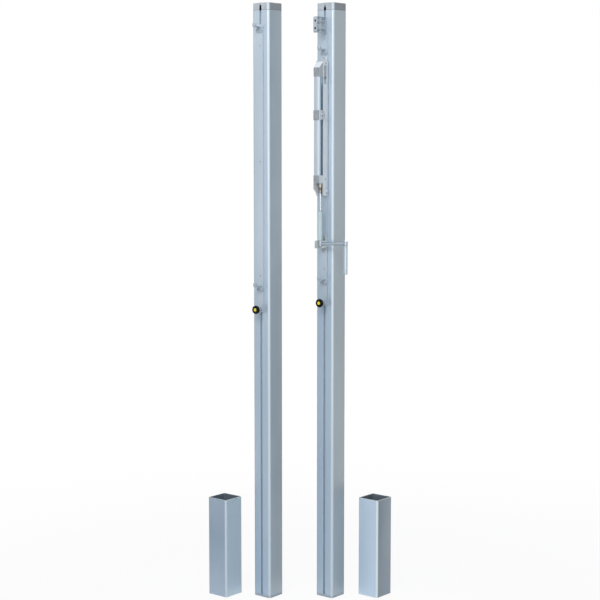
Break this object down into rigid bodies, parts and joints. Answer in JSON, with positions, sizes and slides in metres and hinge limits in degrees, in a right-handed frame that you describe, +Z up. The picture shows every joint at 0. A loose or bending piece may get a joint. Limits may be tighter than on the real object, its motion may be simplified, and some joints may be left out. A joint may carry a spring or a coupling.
{
  "type": "volleyball net post set",
  "caption": "Square aluminium net posts with slotted faces and clamped sliders, one with a spindle tensioner and folding crank, with open ground sleeves.",
  "frame": {"origin": "centre of the tensioner post's foot, on the floor", "axes": "+Z up along the posts, -Y out of the posts' slotted faces, +X to the side that the crank's arm points to"},
  "size_m": [0.685, 0.575, 2.847],
  "materials": {
    "anodised": "satin anodised",
    "bright_aluminium": "brushed",
    "cast_aluminium": "blasted",
    "steel": "zinc plated",
    "dark_steel": "blackened",
    "grey_plastic": "moulded",
    "black_plastic": "moulded",
    "yellow_plastic": "moulded",
    "brass": "turned"
  },
  "bodies": {
    "winch_post": {"winch_profile": "anodised", "winch_cap": "grey_plastic", "winch_foot": "grey_plastic"},
    "winch_slider": {"winch_slider_bar": "anodised", "winch_guide_shoes": "black_plastic", "winch_shoe_screws": "steel", "winch_clamp_nut": "steel", "winch_hook_upper": "steel", "winch_hook_lower": "steel", "winch_hook_screws": "steel", "winch_knob_washer": "steel", "roller_bracket": "bright_aluminium", "roller_pins": "dark_steel", "roller_spacers": "steel", "tensioner_channel": "anodised", "channel_screws": "steel", "top_bearing_block": "cast_aluminium", "bottom_bearing_block": "cast_aluminium", "block_screws": "steel", "guide_rail": "bright_aluminium", "thrust_washers": "brass", "crank_clip": "cast_aluminium", "clip_rivets": "steel"},
    "winch_clamp_knob": {"winch_knob": "black_plastic", "winch_knob_cover": "yellow_plastic", "winch_knob_stud": "steel"},
    "upper_roller": {"roller_upper": "grey_plastic"},
    "lower_roller": {"roller_lower": "grey_plastic"},
    "tension_spindle": {"spindle": "steel", "spindle_socket": "brass"},
    "rope_carriage": {"carriage": "cast_aluminium", "spindle_nut": "brass", "rope_hook": "dark_steel", "rope_hook_screws": "steel"},
    "crank_swivel": {"crank_ball": "steel"},
    "crank": {"crank_bar": "steel", "crank_collar": "steel", "handle_cap": "bright_aluminium"},
    "grip_tube": {"crank_grip": "grey_plastic"},
    "handle_tube": {"crank_handle": "bright_aluminium"},
    "plain_post": {"plain_profile": "anodised", "plain_cap": "grey_plastic", "plain_foot": "grey_plastic"},
    "plain_slider": {"plain_slider_bar": "anodised", "plain_guide_shoes": "black_plastic", "plain_shoe_screws": "steel", "plain_clamp_nut": "steel", "plain_hook_upper": "steel", "plain_hook_lower": "steel", "plain_hook_screws": "steel", "plain_knob_washer": "steel"},
    "plain_clamp_knob": {"plain_knob": "black_plastic", "plain_knob_cover": "yellow_plastic", "plain_knob_stud": "steel"},
    "left_sleeve": {"sleeve_left": "anodised", "sleeve_left_floor": "anodised"},
    "right_sleeve": {"sleeve_right": "anodised", "sleeve_right_floor": "anodised"}
  },
  "joints": [
    {"name": "winch_slider_slide", "type": "slide", "parent": "winch_post", "child": "winch_slider", "axis": [0, 0, 1], "range_m": [-0.85, 0.01]},
    {"name": "winch_knob_turn", "type": "hinge", "parent": "winch_slider", "child": "winch_clamp_knob", "pos_m": [0, -0.08, 1.439], "axis": [0, -1, 0], "range_deg": [0, 720]},
    {"name": "upper_roller_spin", "type": "hinge", "parent": "winch_slider", "child": "upper_roller", "pos_m": [0, -0.1067, 2.76], "axis": [0, -1, 0], "continuous": true},
    {"name": "lower_roller_spin", "type": "hinge", "parent": "winch_slider", "child": "lower_roller", "pos_m": [0, -0.1067, 2.726], "axis": [0, -1, 0], "continuous": true},
    {"name": "spindle_turn", "type": "hinge", "parent": "winch_slider", "child": "tension_spindle", "pos_m": [0, -0.082, 2.25], "axis": [0, 0, 1], "range_deg": [-12960, 22320]},
    {"name": "carriage_travel", "type": "slide", "parent": "winch_slider", "child": "rope_carriage", "axis": [0, 0, 1], "range_m": [-0.2485, 0.1445]},
    {"name": "crank_tilt", "type": "hinge", "parent": "winch_slider", "child": "crank_swivel", "pos_m": [0, -0.082, 1.9881], "axis": [-1, 0, 0], "range_deg": [0, 45]},
    {"name": "crank_turn", "type": "hinge", "parent": "crank_swivel", "child": "crank", "pos_m": [0, -0.082, 1.9881], "axis": [0, 0, -1], "range_deg": [0, 95]},
    {"name": "grip_spin", "type": "hinge", "parent": "crank", "child": "grip_tube", "pos_m": [0, -0.082, 1.8], "axis": [0, 0, 1], "continuous": true},
    {"name": "handle_spin", "type": "hinge", "parent": "crank", "child": "handle_tube", "pos_m": [0.1515, -0.082, 1.65], "axis": [0, 0, 1], "continuous": true},
    {"name": "plain_post_lift", "type": "slide", "parent": "winch_post", "child": "plain_post", "axis": [0, 0, 1], "range_m": [0, 0.5]},
    {"name": "plain_slider_slide", "type": "slide", "parent": "plain_post", "child": "plain_slider", "axis": [0, 0, 1], "range_m": [-0.85, 0.045]},
    {"name": "plain_knob_turn", "type": "hinge", "parent": "plain_slider", "child": "plain_clamp_knob", "pos_m": [-0.233, -0.272, 1.407], "axis": [0, -1, 0], "range_deg": [0, 720]},
    {"name": "left_sleeve_lift", "type": "slide", "parent": "winch_post", "child": "left_sleeve", "axis": [0, 0, 1], "range_m": [0, 0.5]},
    {"name": "right_sleeve_lift", "type": "slide", "parent": "winch_post", "child": "right_sleeve", "axis": [0, 0, 1], "range_m": [0, 0.5]}
  ],
  "couplings": [
    {"joint": "carriage_travel", "follows": "spindle_turn", "m_per_rad": -0.00063662}
  ]
}
